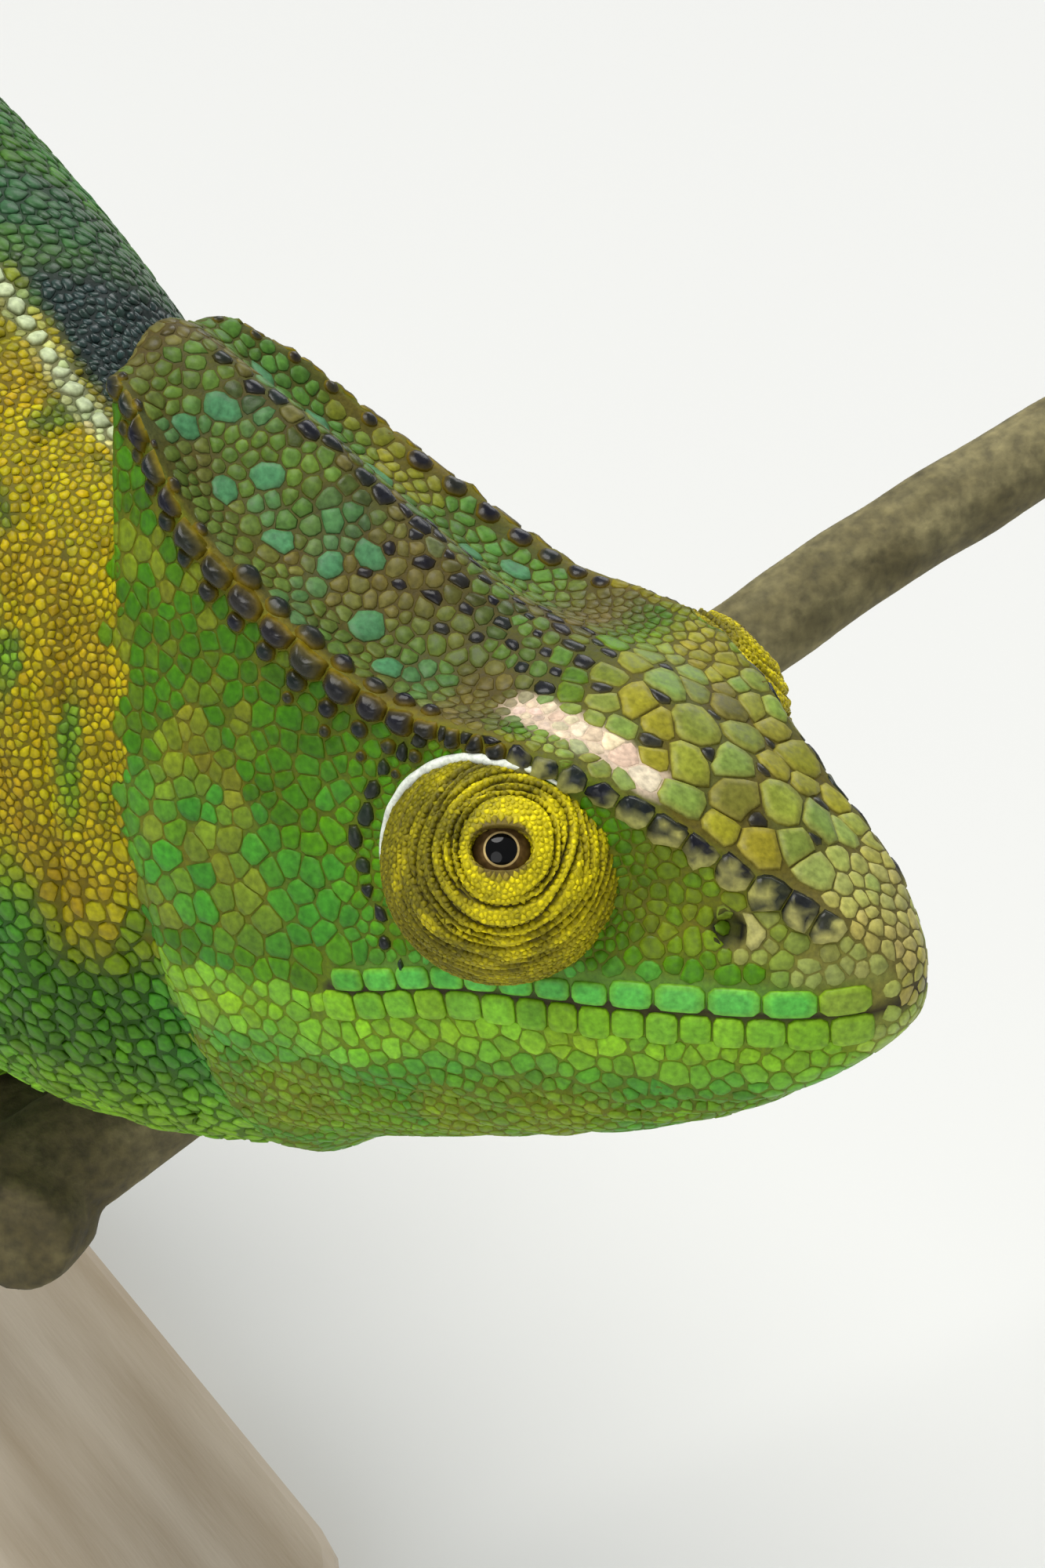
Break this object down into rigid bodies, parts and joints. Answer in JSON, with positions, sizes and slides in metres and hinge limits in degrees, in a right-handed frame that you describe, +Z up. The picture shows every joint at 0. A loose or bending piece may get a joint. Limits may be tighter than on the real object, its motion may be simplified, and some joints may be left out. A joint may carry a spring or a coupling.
{
  "type": "parsons chameleon model on a perch",
  "caption": "Life-size still model of a green casque-headed chameleon gripping a short forked perch that stands on a flat base with two rods.",
  "frame": {"origin": "middle of the stand base's underside", "axes": "+X along the body towards the head, +Y to the animal's left, +Z up"},
  "size_m": [0.2985, 0.147, 0.1653],
  "materials": {
    "scaled_skin": "scaly green skin with ochre between the scales",
    "eyelid_skin": "olive yellow folded skin",
    "eye_gloss": "wet black with a gold ring",
    "perch_bark": "grey brown bark",
    "stand_wood": "pale satin wood",
    "rod_steel": "brushed"
  },
  "bodies": {
    "root": {"head": "scaled_skin", "neck": "scaled_skin", "torso": "scaled_skin", "hips": "scaled_skin", "tail_base": "scaled_skin", "tail_outer_turn": "scaled_skin", "tail_middle_turn": "scaled_skin", "tail_tip": "scaled_skin", "fore_left_upper": "scaled_skin", "fore_left_lower": "scaled_skin", "fore_left_foot": "scaled_skin", "fore_right_upper": "scaled_skin", "fore_right_lower": "scaled_skin", "fore_right_foot": "scaled_skin", "hind_left_upper": "scaled_skin", "hind_left_lower": "scaled_skin", "hind_left_foot": "scaled_skin", "hind_right_upper": "scaled_skin", "hind_right_lower": "scaled_skin", "hind_right_foot": "scaled_skin", "turret_left": "eyelid_skin", "turret_right": "eyelid_skin", "eye_left": "eye_gloss", "eye_right": "eye_gloss", "perch_stem": "perch_bark", "perch_shoot": "perch_bark", "stand_base": "stand_wood", "stand_rod_front": "rod_steel", "stand_rod_rear": "rod_steel"}
  },
  "joints": []
}
